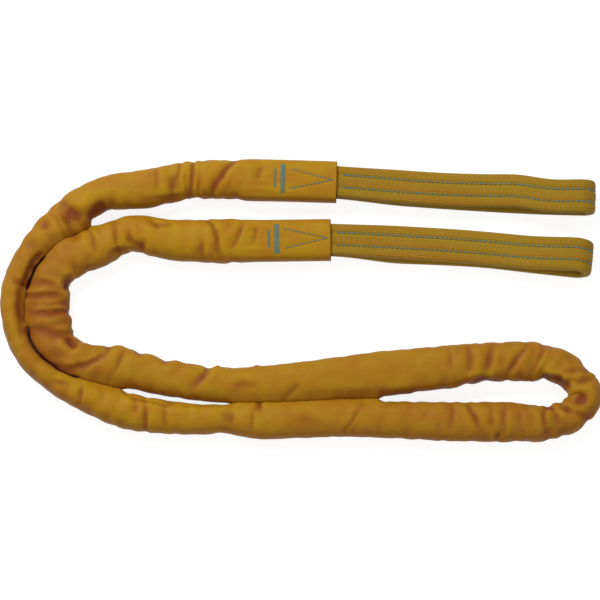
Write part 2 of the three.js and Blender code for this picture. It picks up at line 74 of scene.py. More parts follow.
# Body cover: one woven polyester tube round the yarn hank, laid double in a C. It is longer than
# the hank, so it lies gathered in soft folds, and its two ends are pressed flat, turned in and sewn.
# The route is the middle of the cover on the floor. The shares are of its usual width and height,
# of the most that it is gathered there, and of how much painted shade, redder and darker, it gets
# there.
BODY_ROUTE = [
    (0.0311, 0.1009), (-0.0302, 0.1026), (-0.0924, 0.1026), (-0.1302, 0.0954), (-0.163, 0.0913),
    (-0.1882, 0.0772), (-0.2102, 0.0581), (-0.2293, 0.0357), (-0.2408, 0.0077), (-0.2405, -0.0205),
    (-0.2296, -0.0475), (-0.209, -0.0665), (-0.1806, -0.0815), (-0.1428, -0.0945),
    (-0.084, -0.1012), (-0.0655, -0.1006), (-0.0319, -0.1026), (0.042, -0.1008), (0.126, -0.103),
    (0.1722, -0.1033), (0.2058, -0.1043), (0.2293, -0.0961), (0.239, -0.082), (0.2302, -0.0658),
    (0.2058, -0.053), (0.168, -0.0525), (0.0714, -0.0624), (-0.0504, -0.0724),
    (-0.105, -0.0674), (-0.1512, -0.0566), (-0.187, -0.0514), (-0.205, -0.0382),
    (-0.211, -0.0153), (-0.2104, 0.0112), (-0.1982, 0.0308), (-0.1697, 0.0449),
    (-0.1428, 0.0569), (-0.1092, 0.0518), (-0.0571, 0.0505), (0.026, 0.0513),
]
BODY_WIDTH_SHARES = [
    1, 1, 0.91, 0.96, 0.86, 0.91, 0.81, 0.64, 0.6, 0.52, 0.5, 0.54, 0.7, 0.88, 0.73, 0.68, 0.87, 0.87,
    0.95, 0.98, 0.83, 0.77, 0.77, 0.8, 0.87, 0.97, 1.13, 0.87, 0.86, 0.96, 0.91, 1, 1.1, 1, 0.9,
    0.94, 0.87, 1, 1.12, 1,
]
BODY_HEIGHT_SHARES = [
    1, 1, 1, 1, 1, 1, 1.04, 1.08, 1.1, 1.12, 1.12, 1.1, 1.06, 1, 0.96, 1, 1, 1, 1, 1, 1, 1.04, 1.08,
    1.04, 1, 1, 1, 1, 1, 1, 1, 1, 1.04, 1.04, 1.04, 1, 1, 1, 1, 1,
]
BODY_GATHER_SHARES = [
    0.2, 0.4, 0.7, 0.2, 0.15, 0.5, 0.7, 0.5, 0.35, 0.35, 0.4, 0.45, 0.45, 0.6, 0.35, 0.3, 0.25, 0.2,
    0.5, 0.6, 0.9, 1, 1, 1, 0.8, 0.7, 0.15, 0.25, 0.3, 0.5, 0.8, 0.9, 0.8, 0.8, 0.7, 0.6, 0.5,
    0.25, 0.45, 0.2,
]
BODY_PAINTED_SHADE_SHARES = [
    0, 0, 0.15, 0.2, 0.2, 0.4, 0.55, 0.5, 0.5, 0.5, 0.45, 0.35, 0.1, 0, 0, 0.1, 0.2, 0.35, 0.5,
    0.6, 0.65, 0.75, 0.7, 0.6, 0.5, 0.5, 0.3, 0.2, 0.2, 0.3, 0.8, 1.1, 1.2, 1, 0.6, 0.25, 0.1, 0,
    0, 0,
]
BODY_WIDTH, BODY_HEIGHT, BODY_SQUARENESS, BODY_FLAT_SHARE = 0.034, 0.024, 2.4, 0.1
CUFF_WIDTH, CUFF_HEIGHT, CUFF_SQUARENESS, CUFF_FLAT_SHARE = 0.035, 0.02, 3.2, 0.02
CUFF_LENGTH, CUFF_TAPER, CUFF_LIFT = 0.06, 0.036, 0.002
COVER_WALL, COVER_TO_YARN = 0.0011, 0.0003
YARN_DIAMETER, YARN_SPACING, YARN_SIDE_GAP = 0.0092, 0.0099, 0.0029
COVER_STEP, COVER_AROUND = 0.00127, 64
ROUTE_STEPS = 60
UP = np.array([0.0, 0.0, 1.0])


def smoothstep(value, start, end):
    share = np.clip((value - start) / (end - start), 0, 1)
    return share * share * (3 - 2 * share)


def smooth_line(points):
    """A centripetal spline through the points."""
    p = np.array(points, float)
    p = np.vstack([2 * p[0] - p[1], p, 2 * p[-1] - p[-2]])
    t = np.arange(ROUTE_STEPS)[:, None] / ROUTE_STEPS
    line = []
    for a, b, c, d in zip(p, p[1:], p[2:], p[3:]):
        before, here, after = (
            np.linalg.norm(y - x) ** 0.5 for x, y in ((a, b), (b, c), (c, d))
        )
        leaving = ((b - a) / before - (c - a) / (before + here) + (c - b) / here) * here
        arriving = ((c - b) / here - (d - b) / (here + after) + (d - c) / after) * here
        line.append(
            (2 * t**3 - 3 * t**2 + 1) * b + (t**3 - 2 * t**2 + t) * leaving
            + (3 * t**2 - 2 * t**3) * c + (t**3 - t**2) * arriving
        )
    return np.vstack(line + [p[-2:-1]])


def distances(line):
    return np.concatenate([[0], np.cumsum(np.linalg.norm(np.diff(line, axis=0), axis=1))])


def unit(vectors):
    return vectors / np.linalg.norm(vectors, axis=-1, keepdims=True)


def sides_of(places):
    """Unit vectors that point left of a line on the floor."""
    ahead = unit(np.gradient(places, axis=0))
    return np.stack([-ahead[:, 1], ahead[:, 0]], axis=1)


def at_distance(wanted, along, values):
    """Values of a line's points, at wanted distances along it."""
    return np.stack([np.interp(wanted, along, column) for column in values.T], axis=-1)


def flat_oval(width, height, squareness, flat_share, count):
    """Evenly spaced points of a flat-bottomed oval on z = 0, from the middle of its flat."""
    angle = np.linspace(-0.5, 1.5, 361) * math.pi
    half = height / (2 * (1 - flat_share))
    across, rise = (
        np.sign(wave) * np.abs(wave) ** (2 / squareness) for wave in (np.cos(angle), np.sin(angle))
    )
    x, z = across * width / 2, np.maximum(height - half + half * rise, 0)
    along = distances(np.stack([x, z], axis=1))
    wanted = np.arange(count) / count * along[-1]
    return np.stack([np.interp(wanted, along, x), np.interp(wanted, along, z)], axis=1)


class Cover:
    """Rings of the cover as it is laid, before it is gathered."""

    def __init__(self, step, around):
        line = smooth_line(BODY_ROUTE)
        along = distances(line)
        self.length = along[-1]
        self.s = np.linspace(0, self.length, round(self.length / step) + 1)
        place = np.interp(self.s, along, np.arange(len(line)) / ROUTE_STEPS)
        self.middle = at_distance(self.s, along, line)
        self.side = sides_of(self.middle)
        self.from_cuff = np.minimum(self.s, self.length - self.s)
        self.pressed = 1 - smoothstep(self.from_cuff, CUFF_LENGTH, CUFF_LENGTH + CUFF_TAPER)
        numbers = np.arange(len(BODY_ROUTE))
        widths, heights, self.gather, self.red = (
            np.interp(place, numbers, shares)
            for shares in (
                BODY_WIDTH_SHARES, BODY_HEIGHT_SHARES, BODY_GATHER_SHARES, BODY_PAINTED_SHADE_SHARES
            )
        )
        self.width = self.press(BODY_WIDTH * widths, CUFF_WIDTH)
        self.height = self.press(BODY_HEIGHT * heights, CUFF_HEIGHT)
        self.lift = self.press(0, CUFF_LIFT)
        sizes = zip(
            self.width, self.height, self.press(BODY_SQUARENESS, CUFF_SQUARENESS),
            self.press(BODY_FLAT_SHARE, CUFF_FLAT_SHARE),
        )
        self.section = np.array([flat_oval(*size, around) for size in sizes])
        self.section[..., 1] += self.lift[:, None]
        self.rings = self.placed(self.section)

    def room_beside_yarn(self):
        """How far the yarn's two legs are apart, as a share of their spacing."""
        beside = self.width - YARN_DIAMETER - 2 * YARN_SIDE_GAP
        return np.clip(beside / YARN_SPACING, 0, 1)

    def press(self, loose, flat):
        return loose + (flat - loose) * self.pressed

    def placed(self, section):
        """Points of the cover's upright sections, in space."""
        floor = self.middle[:, None] + self.side[:, None] * section[..., :1]
        return np.concatenate([floor, section[..., 1:]], axis=2)


def tube_faces(count, around, first=0):
    corners = first + np.arange(count * around).reshape(count, around)
    after = np.roll(corners, -1, axis=1)
    faces = np.stack([corners[:-1], after[:-1], after[1:], corners[1:]], axis=-1)
    return faces.reshape(-1, 4).tolist()


def mesh_piece(name, points, faces):
    mesh = bpy.data.meshes.new(name)
    mesh.from_pydata(np.reshape(points, (-1, 3)).tolist(), [], faces)
    mesh.shade_smooth()
    piece = bpy.data.objects.new(name, mesh)
    bpy.context.scene.collection.objects.link(piece)
    return piece


def lay_threads(piece, around, along, girth):
    """Gives a mesh its cloth coordinates in metres, from values at its points, as a UV map."""
    corners = np.zeros(len(piece.data.loops), np.int32)
    piece.data.loops.foreach_get("vertex_index", corners)
    u, v = around[corners], along[corners]
    starts = np.zeros(len(piece.data.polygons), np.int32)
    piece.data.polygons.foreach_get("loop_start", starts)
    first = np.repeat(u[starts], np.diff(np.append(starts, len(corners))))
    u = np.where(first - u > girth / 2, u + girth, np.where(u - first > girth / 2, u - girth, u))
    cloth = piece.data.uv_layers.new(name="cloth")
    cloth.data.foreach_set("uv", np.stack([u, v], axis=1).astype(np.float32).ravel())


def apply_modifier(piece, modifier):
    bpy.ops.object.select_all(action="DESELECT")
    piece.select_set(True)
    bpy.context.view_layer.objects.active = piece
    bpy.ops.object.modifier_apply(modifier=modifier.name)


def blurred(field, rounds):
    """A field over a tube's rings and points, smoothed both ways."""
    for _ in range(rounds):
        field = (2 * field + np.roll(field, 1, axis=1) + np.roll(field, -1, axis=1)) / 4
        ends = np.concatenate([field[:1], field, field[-1:]])
        field = (ends[:-2] + 2 * field + ends[2:]) / 4
    return field


def inward(rings):
    """Unit vectors from a tube's skin to its inside."""
    around = np.roll(rings, -1, axis=1) - np.roll(rings, 1, axis=1)
    return -unit(np.cross(around, np.gradient(rings, axis=0)))


# The cover is gathered: the tube is cut longer than its route, and buckles as it is pushed back.
GATHER_STEP, GATHER_AROUND = 0.0024, 48
GATHER_SHARE = 0.14
PUSH_FRAMES, SETTLE_FRAMES = 8, 18
HOLD = 0.012
GATHER_DEPTH, MOST_GATHERED = 0.0008, 0.003
VALLEY_SHARE = 0.3
SEED_HEIGHT = 0.0005
FINE_BLUR, BROAD_BLUR = 2, 40


def gathered(cover):
    """How far the skin sinks in when the tube is pushed together lengthwise."""
    rings = cover.rings
    long = rings.copy()
    long[..., :2] += cover.middle[:, None] * GATHER_SHARE
    seeds = blurred(np.random.default_rng(11).normal(size=rings.shape[:2]), FINE_BLUR)
    long -= inward(rings) * (seeds / seeds.std() * SEED_HEIGHT)[..., None]
    cloth = mesh_piece("gathered_tube", long, tube_faces(*rings.shape[:2]))
    cloth.shape_key_add(name="long")
    cloth.shape_key_add(name="laid").data.foreach_set("co", rings.astype(np.float32).ravel())
    push = cloth.data.shape_keys.key_blocks["laid"]
    for frame_number, share in ((1, 0), (PUSH_FRAMES, 1)):
        push.value = share
        push.keyframe_insert("value", frame=frame_number)
    held = cloth.vertex_groups.new(name="held")
    firm = np.repeat(cover.pressed > 0.5, rings.shape[1])
    held.add(np.flatnonzero(firm).tolist(), 1, "REPLACE")
    held.add(np.flatnonzero(~firm).tolist(), HOLD**0.25, "REPLACE")
    modifier = cloth.modifiers.new("cloth", "CLOTH")
    settings = modifier.settings
    settings.vertex_group_mass = "held"
    settings.quality = 5
    settings.mass = 0.2
    settings.air_damping = 3
    settings.tension_stiffness = settings.compression_stiffness = 15
    settings.shear_stiffness = 5
    settings.bending_stiffness = 1
    settings.effector_weights.gravity = 0
    modifier.collision_settings.use_collision = False
    modifier.point_cache.frame_end = SETTLE_FRAMES
    for frame_number in range(1, SETTLE_FRAMES + 1):
        bpy.context.scene.frame_set(frame_number)
    settled = cloth.evaluated_get(bpy.context.evaluated_depsgraph_get()).data
    points = np.zeros(rings.size, np.float32)
    settled.vertices.foreach_get("co", points)
    bpy.data.objects.remove(cloth)
    bpy.context.scene.frame_set(1)
    sunk = ((points.reshape(rings.shape) - rings) * inward(rings)).sum(axis=2)
    sunk = blurred(sunk, FINE_BLUR) - blurred(sunk, BROAD_BLUR)
    sunk /= sunk.std()
    sunk += VALLEY_SHARE * (sunk**2 - 1)
    return MOST_GATHERED * np.tanh(sunk * GATHER_DEPTH / MOST_GATHERED)


cover = Cover(COVER_STEP, COVER_AROUND)
into = inward(cover.rings)
sunk = np.zeros(cover.rings.shape[:2])
coarse = Cover(GATHER_STEP, GATHER_AROUND)
field = gathered(coarse)
field = np.concatenate([field, field[:, :1]], axis=1)
turns = np.linspace(0, 1, COVER_AROUND, endpoint=False)
field = at_distance(turns, np.linspace(0, 1, GATHER_AROUND + 1), field.T).T
sunk += blurred(at_distance(cover.s, coarse.s, field), 2) * cover.gather[:, None]

# Deep folds, pits and bulges where the picture shows them: places in its pixels along each, its
# depth and half its width in millimetres. A bulge has a negative depth.
PIXEL, PIXEL_ON_FLOOR = PICTURE_WIDTH / 600, 0.000855
MIDDLE_COLUMN, MIDDLE_ROW, MIDDLE_OFFSET = 300, 299, 0.0009
FOLDS = [
    ([(158, 168), (158, 196)], 0.8, 3.5), ([(177, 170), (172, 197)], 1.6, 3.5),
    ([(181, 160), (179, 197)], 1.7, 1.6), ([(193, 160), (194, 175), (191, 198)], 2.4, 2.6),
    ([(200, 170), (200, 196)], 1.3, 1.6), ([(187, 174), (187, 198)], 1.0, 1.4),
    ([(236, 161), (224, 175), (211, 198)], 1.9, 3.6), ([(263, 166), (258, 182)], 0.8, 3.4),
    ([(49, 211), (58, 224), (68, 240)], 1.0, 1.6), ([(60, 213), (66, 222), (73, 234)], 1.0, 1.5),
    ([(44, 224), (50, 236)], 1.1, 2.8), ([(69, 208), (75, 215), (81, 224)], 4.4, 8.4),
    ([(109, 209), (99, 212), (93, 217), (91, 223)], 5, 5), ([(12, 281), (24, 286)], 1.0, 2),
    ([(88, 229), (97, 252)], 1.0, 2.4), ([(114, 225), (119, 253)], 1.2, 2.2),
    ([(128, 232), (133, 243), (144, 252)], 1.2, 2.4),
    ([(204, 218), (213, 226), (218, 240), (221, 258)], 1.5, 3), ([(202, 244), (203, 260)], 1.2, 3.6),
    ([(243, 224), (235, 250)], 1.1, 2.6), ([(257, 228), (253, 248)], 0.9, 2.2),
    ([(143, 247)], 1.5, 3), ([(70, 286)], 3.4, 4), ([(36, 284), (46, 285), (58, 288)], 1.0, 3),
    ([(20, 296), (40, 298), (60, 297)], 2.0, 2.4), ([(34, 306), (50, 307), (66, 306)], 0.8, 1.4),
    ([(34, 313), (52, 315), (76, 312)], 2.0, 2.4), ([(40, 332), (60, 336), (74, 343)], 1.6, 4),
    ([(22, 288), (21, 313), (24, 336)], 1.8, 3.2),
    ([(72, 343)], 3.2, 4), ([(77, 347)], 1.6, 3),
    ([(54, 363), (70, 367), (84, 367), (98, 361), (110, 351)], 1.9, 2.2),
    ([(213, 364), (204, 378), (194, 388)], 1.6, 4.4), ([(232, 389), (243, 384), (256, 388)], 0.9, 5),
    ([(301, 386), (284, 398)], 0.8, 3), ([(56, 382), (70, 385)], 1.0, 3),
    ([(122, 391), (131, 398), (150, 402), (176, 405)], 0.9, 1.4),
    ([(84, 386), (80, 406)], 1.1, 2.4), ([(137, 398), (138, 418)], 1.0, 2.4),
    ([(147, 402), (147, 436)], 1.5, 2.6), ([(166, 403), (167, 426)], 0.9, 3.4),
    ([(262, 403), (262, 410)], 1.6, 3), ([(231, 410), (230, 428)], 1.2, 5.6),
    ([(257, 408), (252, 430)], 1.0, 2.6), ([(288, 430), (306, 421), (334, 427)], 0.7, 7),
    ([(363, 406), (355, 420), (344, 435)], 1.0, 1.8), ([(449, 348), (452, 372)], 0.8, 2.2),
    ([(468, 344), (472, 362), (466, 380)], 1.1, 4.4), ([(492, 345), (489, 362), (484, 384)], 1.2, 3.8),
    ([(526, 347), (516, 362), (506, 380)], 1.5, 2.2),
    ([(544, 347), (540, 362), (528, 380)], 1.3, 2.2), ([(547, 377), (556, 380), (566, 387)], 3, 3),
    ([(560, 374), (590, 371)], 1.1, 2), ([(566, 382), (596, 379)], 0.9, 1.8),
    ([(579, 401)], 3.4, 4.6), ([(566, 409), (577, 415), (588, 420)], 1.3, 2),
    ([(544, 404), (542, 416), (545, 430)], 2.0, 2.4), ([(549, 404), (557, 424)], 1.3, 2),
    ([(547, 407)], 2.6, 3), ([(544, 379)], 3, 4), ([(560, 407), (569, 413)], 2.4, 2.6),
    ([(453, 404), (450, 428)], 0.9, 3), ([(467, 402), (479, 430)], 1.3, 2.4),
    ([(491, 404), (491, 430)], 0.8, 3),
    ([(504, 402), (503, 438)], 0.9, 3), ([(519, 410), (519, 430)], 0.6, 2.4),
    ([(496, 437)], 1.6, 2), ([(464, 388), (496, 383)], 4, 6), ([(528, 385)], -3, 8),
    ([(84, 230)], -4, 8), ([(94, 231)], -1.6, 6), ([(60, 246)], -2.5, 7), ([(409, 392)], -1, 9),
    ([(200, 160)], -0.6, 6), ([(238, 158)], -0.8, 5), ([(110, 346)], 1.4, 3),
    ([(121, 347)], -1.2, 4), ([(140, 352)], 1.4, 4), ([(165, 359)], 1.8, 4),
    ([(178, 361)], -0.8, 5), ([(207, 365)], 1.4, 3), ([(27, 329)], -2.3, 4),
    ([(146, 200), (164, 200), (184, 196)], 0.9, 3), ([(112, 253), (125, 251)], 1.5, 2.4),
    ([(146, 221), (158, 227), (172, 226)], 1.0, 2.4),
    ([(126, 352), (120, 364), (114, 376)], 0.9, 2.4), ([(160, 436)], -0.8, 4),
    ([(258, 439)], -0.8, 8), ([(217, 364)], -1.6, 3), ([(257, 366)], -1.4, 3),
    ([(380, 394), (404, 392), (440, 390)], 1.1, 3.2), ([(322, 396), (350, 395), (380, 393)], 0.6, 4),
]
FOLD_WOBBLE, FOLD_WOBBLE_BLUR = 0.0006, 12
FOLD_END_SHARE, FOLD_SLANT_SHARE, FOLD_SIDE_SHARE = 0.35, 0.35, 0.35
FOLD_RIM_SHARE, FOLD_RIM_PLACE, FOLD_RIM_SPREAD = 0.25, 2.1, 1.2
FOLD_REACH = 0.05
SIDE_HEIGHT, TOP_HEIGHT = 0.002, 0.012
GATHER_SHADE = 0.35


def on_sling(pixels):
    """Places of the picture on the sling, as far up as its side is widest."""
    x, y = np.array(pixels, float).T
    return np.stack(
        [(x - MIDDLE_COLUMN) * PIXEL, (MIDDLE_ROW - y) * PIXEL_ON_FLOOR + MIDDLE_OFFSET], axis=1
    )


def gap_to_line(points, line):
    """How far points are from a line on the floor, how far along it, and on which side."""
    gap = np.full(points.shape[:-1], np.inf)
    place, side = np.zeros(gap.shape), np.zeros(gap.shape)
    along = distances(line) if len(line) > 1 else np.zeros(2)
    for a, b, start, end in zip(line, line[1:] if len(line) > 1 else line, along, along[1:]):
        step = b - a
        share = np.clip(((points - a) @ step) / max(step @ step, 1e-12), 0, 1)
        offset = points - a - share[..., None] * step
        length = np.linalg.norm(offset, axis=-1)
        nearer = length < gap
        gap = np.where(nearer, length, gap)
        place = np.where(nearer, start + share * (end - start), place)
        turn = step[0] * offset[..., 1] - step[1] * offset[..., 0]
        side = np.where(nearer, turn / max(math.hypot(*step), 1e-9) / (length + 1e-4), side)
    return gap, place / max(along[-1], 1e-9), side


top_side = smoothstep(cover.rings[..., 2], SIDE_HEIGHT, TOP_HEIGHT)
shaded = GATHER_SHADE * sunk
random = np.random.default_rng(5)
wobble = np.stack(
    [blurred(random.normal(size=sunk.shape), FOLD_WOBBLE_BLUR) for _ in range(2)], axis=-1
)
wobble *= FOLD_WOBBLE / wobble.std()
for pixels, depth, half_width in FOLDS:
    line = on_sling(pixels)
    nearest_ring = np.linalg.norm(cover.middle - line.mean(axis=0), axis=1).argmin()
    near = np.abs(cover.s - cover.s[nearest_ring]) < FOLD_REACH
    gap, place, side = gap_to_line(cover.rings[near][..., :2] + wobble[near], line)
    gap /= half_width / 1000 * (1 - FOLD_SLANT_SHARE * side)
    valley = np.exp(-(gap**2))
    if depth > 0:
        valley -= FOLD_RIM_SHARE * np.exp(-((gap - FOLD_RIM_PLACE) ** 2) / FOLD_RIM_SPREAD)
    if len(line) > 1:
        valley *= FOLD_END_SHARE + (1 - FOLD_END_SHARE) * np.sin(place * math.pi)
    valley *= depth / 1000 * (FOLD_SIDE_SHARE + (1 - FOLD_SIDE_SHARE) * top_side[near])
    sunk[near] += valley
    # A fold's valley is also painted into the colour as shade.
    if depth > 0:
        shaded[near] += valley
yarn_reach = (YARN_DIAMETER + YARN_SPACING * cover.room_beside_yarn()) / 2
deepest = (cover.width / 2 - yarn_reach - COVER_WALL - COVER_TO_YARN)[:, None]
sunk = np.where(sunk > 0, deepest * np.tanh(sunk / deepest), sunk)

# Throat seams pull the cuffs in along their stitches. Places are from the cuff's end and across.
WIDE_TACK_PLACE, WIDE_TACK_WIDTH, WIDE_TACK_LENGTH = 0.0455, 0.0046, 0.024
NARROW_TACK_PLACE, NARROW_TACK_WIDTH, NARROW_TACK_LENGTH = 0.052, 0.0018, 0.015
TRIANGLE_START, TRIANGLE_LENGTH, TRIANGLE_BASE = 0.003, 0.037, 0.017
SEAM_PULL, SEAM_PULL_WIDTH = 0.0005, 0.0014
PLEAT_DEPTH, PLEAT_WIDTH, PLEAT_PLACE, PLEAT_REACH = 0.0003, 0.0031, 0.066, 0.009
triangle = np.array([
    (TRIANGLE_START + TRIANGLE_LENGTH, TRIANGLE_BASE / 2), (TRIANGLE_START, 0),
    (TRIANGLE_START + TRIANGLE_LENGTH, -TRIANGLE_BASE / 2),
])
tack_lines = [
    np.array([(place, -length / 2), (place, length / 2)])
    for place, length in (
        (WIDE_TACK_PLACE, WIDE_TACK_LENGTH), (NARROW_TACK_PLACE, NARROW_TACK_LENGTH)
    )
]
cuff_places = np.stack(
    [np.broadcast_to(cover.from_cuff[:, None], sunk.shape), cover.section[..., 0]], axis=2
)
pull = np.max(
    [np.exp(-((gap_to_line(cuff_places, line)[0] / SEAM_PULL_WIDTH) ** 2))
     for line in (triangle, *tack_lines)], axis=0
)
sunk += SEAM_PULL * pull
pleats = np.cos(cover.section[..., 0] / PLEAT_WIDTH * math.pi) * np.exp(
    -(((cover.from_cuff - PLEAT_PLACE) / PLEAT_REACH) ** 2)
)[:, None]
sunk += PLEAT_DEPTH * pleats
rings = cover.rings + into * sunk[..., None]

# Where the runs lie against each other they are pressed together: the longer way round the left
# bend, and along the middle of the sling.
CONTACTS = [
    [(93, 224), (79, 233), (59, 246), (41, 258), (29, 275), (26, 291), (24, 313), (26, 332),
     (37, 359), (70, 379), (114, 387)],
    [(242, 404), (300, 400), (370, 397)],
]
CONTACT_GAP, CONTACT_REACH, CONTACT_FIRM_SHARE = 0.0003, 0.007, 0.4
CONTACT_NEAR, CONTACT_FAR, CONTACT_ROUNDS = 0.006, 0.012, 3
half = len(rings) // 2
run_faces = tube_faces(half, COVER_AROUND)
for _ in range(CONTACT_ROUNDS):
    runs = [rings[:half], rings[-half:]]
    skins = [BVHTree.FromPolygons(run.reshape(-1, 3).tolist(), run_faces) for run in runs]
    for run, other_skin in zip(runs, skins[::-1]):
        near = np.min(
            [gap_to_line(run[..., :2], on_sling(line))[0] for line in CONTACTS], axis=0
        )
        push = np.zeros(run.shape)
        for i, j in np.argwhere(near < CONTACT_FAR):
            place, _, _, gap = other_skin.find_nearest(Vector(run[i, j]), CONTACT_REACH)
            if place is not None:
                share = 1 - smoothstep(gap, CONTACT_FIRM_SHARE * CONTACT_REACH, CONTACT_REACH)
                away = (np.array(place) - run[i, j]) / max(gap, 1e-9)
                push[i, j] = away * (gap - CONTACT_GAP) * share / 2
        push *= (1 - smoothstep(near, CONTACT_NEAR, CONTACT_FAR))[..., None]
        run += np.stack([blurred(push[..., k], 2) for k in range(3)], axis=-1)

# Two slits are left between them, where the upper edges roll apart, and are also painted dark as
# shade: places in the picture's pixels, depth and half width in millimetres.
SLITS = [
    ([(26, 287), (30, 275), (35, 265), (41, 258)], 3.0, 2.4),
    ([(28, 330), (31, 342), (38, 353), (51, 365), (66, 373), (78, 378)], 1.0, 1.4),
]
SLIT_FOOT, SLIT_TOP = 0.008, 0.015
slit_depth, painted_slit_shade = np.zeros(sunk.shape), np.zeros(sunk.shape)
for pixels, depth, half_width in SLITS:
    gap = gap_to_line(rings[..., :2], on_sling(pixels))[0] / half_width * 1000
    valley = np.exp(-(gap**2)) * smoothstep(rings[..., 2], SLIT_FOOT, SLIT_TOP)
    slit_depth += depth / 1000 * valley
    painted_slit_shade += valley
rings += inward(rings) * blurred(slit_depth, 1)[..., None]
rings[..., 2] = np.maximum(rings[..., 2], 0.0)

# Painted shade: the colour is made darker and redder the deeper each point lies in a narrow crease,
# in a broad hollow or in a slit, and the further it faces away from where the light comes from.
LIT_FROM = unit(np.array([-0.4, 0.6, 0.75]))
LIT_FACING, SHADED_FACING = -0.7, 0.35
CREASE_BLUR, CREASE_DEPTH = 12, 0.0006
HOLLOW_BLUR, HOLLOW_DEPTH = 250, 0.0018
SLIT_SHADE = 1.5
crease = np.tanh((shaded - blurred(shaded, CREASE_BLUR)) / CREASE_DEPTH)
hollow = np.tanh((shaded - blurred(shaded, HOLLOW_BLUR)) / HOLLOW_DEPTH)
crease, hollow = blurred(crease + SLIT_SHADE * painted_slit_shade, 2), blurred(hollow, 6)
# Painted shade on the sides that face away from the light.
turned_away = smoothstep(inward(rings) @ LIT_FROM, LIT_FACING, SHADED_FACING)

# Its ends are turned in to the webbing, and it has a wall, with an inner skin of fewer points.
STACK_WIDTH, STACK_HEIGHT, STACK_SQUARENESS = 0.0268, 0.0166, 8
TURN_IN = [(0.1, 0.0003), (0.35, 0.0), (0.65, 0.0006), (0.9, 0.0018), (0.97, 0.004)]
stack = flat_oval(STACK_WIDTH, STACK_HEIGHT, STACK_SQUARENESS, 0, COVER_AROUND)
stack[:, 1] += CUFF_LIFT + (CUFF_HEIGHT - STACK_HEIGHT) / 2
hems = []
for end, following in ((0, 1), (-1, -2)):
    hem = []
    ahead = unit(cover.middle[following] - cover.middle[end])
    for share, depth in TURN_IN:
        section = cover.section[end] + (stack - cover.section[end]) * share
        floor = cover.middle[end] + cover.side[end] * section[:, :1] + ahead * depth
        hem.append(np.concatenate([floor, section[:, 1:]], axis=1))
    hems.append(np.array(hem))
skin = np.concatenate([hems[0][::-1], rings, hems[1]])
inside = ((rings - cover.rings) * into).sum(axis=2)
for steps in range(-4, 5):
    rows = np.clip(np.arange(len(rings)) + steps, 0, len(rings) - 1)
    inside = np.maximum(inside, inside[rows])
for steps in (-2, -1, 1, 2):
    inside = np.maximum(inside, np.roll(inside, steps, axis=1))
lining_rings = (cover.rings + into * (blurred(inside, 2) + COVER_WALL)[..., None])[2:-2:4, ::2]
lining_rings[..., 2] = np.maximum(lining_rings[..., 2], COVER_WALL)
skin_points, lining_points = skin.reshape(-1, 3), lining_rings.reshape(-1, 3)
faces = tube_faces(len(skin), COVER_AROUND)
first = len(skin_points)
faces += [face[::-1] for face in tube_faces(*lining_rings.shape[:2], first)]
for outer, inner, turned in (
    (0, first, False),
    (first - COVER_AROUND, first + len(lining_points) - COVER_AROUND // 2, True),
):
    for j in range(0, COVER_AROUND, 2):
        a, b, c = (outer + (j + k) % COVER_AROUND for k in range(3))
        d, e = (inner + (j // 2 + k) % (COVER_AROUND // 2) for k in range(2))
        closing = [(a, d, b), (b, d, e), (b, e, c)]
        faces += [face[::-1] if turned else face for face in closing]
body_cover = mesh_piece("body_cover", np.concatenate([skin_points, lining_points]), faces)


def over_cover(values):
    """Values of the cover's rings, at every point of its skin and its lining."""
    outer = np.concatenate([
        values[:1].repeat(len(TURN_IN), axis=0), values, values[-1:].repeat(len(TURN_IN), axis=0)
    ])
    return np.concatenate([outer.ravel(), values[2:-2:4, ::2].ravel()])


cover_girth = np.linalg.norm(
    np.roll(cover.section, -1, axis=1) - cover.section, axis=2
).sum(axis=1).mean()
turns = np.broadcast_to(np.arange(COVER_AROUND) / COVER_AROUND * cover_girth, sunk.shape)
lay_threads(
    body_cover, over_cover(turns), over_cover(np.broadcast_to(cover.s[:, None], sunk.shape)),
    cover_girth,
)
# These attributes carry painted shade: creases, hollows, slits, sides away from the light, and red by
# place.
for name, values in (
    ("crease", crease), ("hollow", hollow), ("turned_away", turned_away),
    ("red", np.broadcast_to(cover.red[:, None], crease.shape)),
):
    attribute = body_cover.data.attributes.new(name, "FLOAT", "POINT")
    attribute.data.foreach_set("value", over_cover(values).astype(np.float32))


class Value:
    """A socket of a material, with arithmetic that adds Math nodes."""

    def __init__(self, finish, socket):
        self.finish, self.socket = finish, socket

    def math(self, operation, *values):
        return self.finish.node(
            "ShaderNodeMath", {"operation": operation}, dict(enumerate(values))
        )

    def __add__(self, other):
        return self.math("ADD", self, other)

    def __sub__(self, other):
        return self.math("SUBTRACT", self, other)

    def __rsub__(self, other):
        return self.math("SUBTRACT", other, self)

    def __mul__(self, other):
        return self.math("MULTIPLY", self, other)

    def __abs__(self):
        return self.math("ABSOLUTE", self)

    def sine(self):
        return self.math("SINE", self)

    def above(self, other):
        return self.math("GREATER_THAN", self, other)

    def clamped(self):
        return self.math("MINIMUM", self.math("MAXIMUM", self, 0), 1)

    __radd__, __rmul__ = __add__, __mul__


